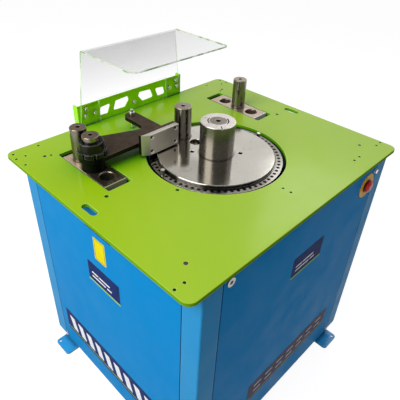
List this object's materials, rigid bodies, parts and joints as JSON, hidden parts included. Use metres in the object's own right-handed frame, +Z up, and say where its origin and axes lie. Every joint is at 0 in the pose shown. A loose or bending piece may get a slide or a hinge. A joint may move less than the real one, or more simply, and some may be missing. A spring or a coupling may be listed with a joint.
{
  "type": "bar bending machine",
  "caption": "Floor-standing bar bending machine with a geared bending disc, mandrel, fixed pins, stop lever and tilting clear guard.",
  "frame": {"origin": "on the floor, below the middle of the table", "axes": "+X along the front edge to the right, +Y from the front to the guard at the back, +Z up"},
  "size_m": [0.93, 0.834, 1.125],
  "materials": {
    "lime_paint": "gloss powder coat",
    "blue_paint": "satin powder coat",
    "frame_paint": "satin powder coat",
    "foot_paint": "gloss powder coat",
    "machined_steel": "turned",
    "pin_steel": "ground, oiled",
    "burnished_steel": "burnished",
    "black_steel": "black oxide",
    "wear_steel": "ground",
    "zinc": "zinc plated",
    "brown_filler": "filled screw heads",
    "clear_sheet": "clear polycarbonate",
    "cream_steel": "bright",
    "grey_casting": "painted casting",
    "motor_casting": "ribbed casting",
    "grey_box": "textured",
    "yellow_plastic": "moulded",
    "red_plastic": "moulded",
    "black_plastic": "moulded"
  },
  "bodies": {
    "frame": {"table_plate": "lime_paint", "table_screws": "brown_filler", "front_posts": "blue_paint", "back_posts": "blue_paint", "upper_frame": "frame_paint", "deck_frame": "frame_paint", "lower_frame": "frame_paint", "front_panel": "blue_paint", "rear_panel": "blue_paint", "left_panel": "blue_paint", "right_panel": "blue_paint", "panel_screws": "zinc", "front_feet": "foot_paint", "rear_feet": "foot_paint", "frame_screws": "zinc", "rear_left_pin": "pin_steel", "middle_left_pin": "pin_steel", "right_pin": "pin_steel", "left_bar_plate": "machined_steel", "right_bar_plate": "machined_steel", "bar_supports": "frame_paint", "notched_collar": "black_steel", "hinge_blocks": "lime_paint", "hinge_pins": "zinc", "hinge_screws": "zinc", "gearbox_housing": "grey_casting", "gearbox_base": "grey_casting", "gearbox_bearings": "machined_steel", "gear_motor": "motor_casting", "motor_cowl": "black_plastic", "terminal_box": "black_plastic", "control_box": "grey_box", "stop_base": "yellow_plastic", "stop_block": "black_plastic", "lock_case": "zinc", "limit_switch": "black_plastic", "cable_gland": "black_plastic"},
    "disc": {"bending_disc": "machined_steel", "trip_pins": "cream_steel", "mandrel_pin": "pin_steel", "spindle": "machined_steel", "disc_screws": "zinc", "bull_gear": "machined_steel"},
    "mandrel_roller": {"mandrel_sleeve": "pin_steel"},
    "bending_roller": {"bending_pin": "pin_steel"},
    "layshaft": {"layshaft": "machined_steel", "layshaft_gear": "machined_steel"},
    "motor_rotor": {"motor_shaft": "machined_steel"},
    "lever": {"stop_lever": "burnished_steel", "wear_plate": "wear_steel", "wear_plate_screws": "black_steel"},
    "levelling": {"levelling_screw": "zinc"},
    "guard": {"guard_sheet": "clear_sheet", "guard_bracket": "lime_paint", "guard_screws": "zinc"},
    "stop_plunger": {"stop_stem": "black_plastic"},
    "stop_knob": {"stop_head": "red_plastic"},
    "lock_core": {"lock_turn": "zinc"},
    "trip_lever": {"switch_lever": "zinc"}
  },
  "joints": [
    {"name": "disc_spin", "type": "hinge", "parent": "frame", "child": "disc", "pos_m": [0.003, -0.0256, 0.86], "axis": [0, 0, 1], "range_deg": [-176, 0]},
    {"name": "mandrel_turn", "type": "hinge", "parent": "disc", "child": "mandrel_roller", "pos_m": [0.003, -0.0256, 0.93], "axis": [0, 0, 1], "continuous": true},
    {"name": "bending_pin_turn", "type": "hinge", "parent": "disc", "child": "bending_roller", "pos_m": [-0.001, 0.118, 0.93], "axis": [0, 0, 1], "continuous": true},
    {"name": "layshaft_turn", "type": "hinge", "parent": "frame", "child": "layshaft", "pos_m": [0.163, -0.0256, 0.7], "axis": [0, 0, 1], "range_deg": [-10, 540]},
    {"name": "motor_turn", "type": "hinge", "parent": "frame", "child": "motor_rotor", "pos_m": [0.163, 0.0944, 0.65], "axis": [0, 0, 1], "range_deg": [-1600, 10]},
    {"name": "lever_swing", "type": "hinge", "parent": "frame", "child": "lever", "pos_m": [-0.314, 0.154, 0.93], "axis": [0, 0, 1], "range_deg": [-12, 0]},
    {"name": "levelling_turn", "type": "hinge", "parent": "lever", "child": "levelling", "pos_m": [-0.083, 0.272, 0.93], "axis": [0, 0, 1], "range_deg": [-180, 180]},
    {"name": "guard_tilt", "type": "hinge", "parent": "frame", "child": "guard", "pos_m": [0.013, 0.401, 0.895], "axis": [-1, 0, 0], "range_deg": [0, 100]},
    {"name": "stop_press", "type": "slide", "parent": "frame", "child": "stop_plunger", "axis": [0, 1, 0], "range_m": [0, 0.0025], "stiffness_N_per_m": 1500, "springref_m": -0.002},
    {"name": "stop_twist", "type": "hinge", "parent": "stop_plunger", "child": "stop_knob", "pos_m": [0.308, -0.392, 0.7977], "axis": [0, 1, 0], "range_deg": [0, 45], "stiffness_Nm_per_rad": 0.1},
    {"name": "lock_quarter_turn", "type": "hinge", "parent": "frame", "child": "lock_core", "pos_m": [-0.33, -0.375, 0.842], "axis": [0, 1, 0], "range_deg": [0, 90]},
    {"name": "switch_trip", "type": "hinge", "parent": "frame", "child": "trip_lever", "pos_m": [-0.18696, -0.01132, 0.813], "axis": [1, 0, 0], "range_deg": [-6, 12], "stiffness_Nm_per_rad": 0.5}
  ],
  "couplings": [
    {"joint": "layshaft_turn", "follows": "disc_spin", "ratio": -3},
    {"joint": "motor_turn", "follows": "disc_spin", "ratio": 9}
  ]
}
